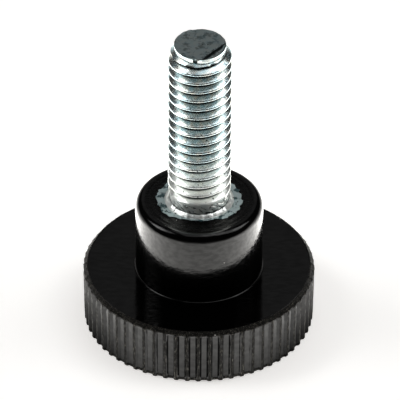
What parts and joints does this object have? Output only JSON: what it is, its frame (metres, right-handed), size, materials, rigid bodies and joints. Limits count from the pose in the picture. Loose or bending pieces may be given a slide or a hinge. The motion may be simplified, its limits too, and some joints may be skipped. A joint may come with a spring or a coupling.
{
  "type": "knurled knob",
  "caption": "Round black plastic hand knob with a straight-knurled rim, a raised hub and a threaded steel stud moulded in.",
  "frame": {"origin": "centre of the knob's flat outer face, on which it stands", "axes": "+Z along the stud, from the outer face towards the tip"},
  "size_m": [0.0218, 0.0218, 0.0313],
  "materials": {
    "head": "glossy black moulded thermoset, matt where the knurl is trimmed",
    "stud": "bright zinc plating"
  },
  "bodies": {
    "root": {"head": "head", "stud": "stud"}
  },
  "joints": []
}
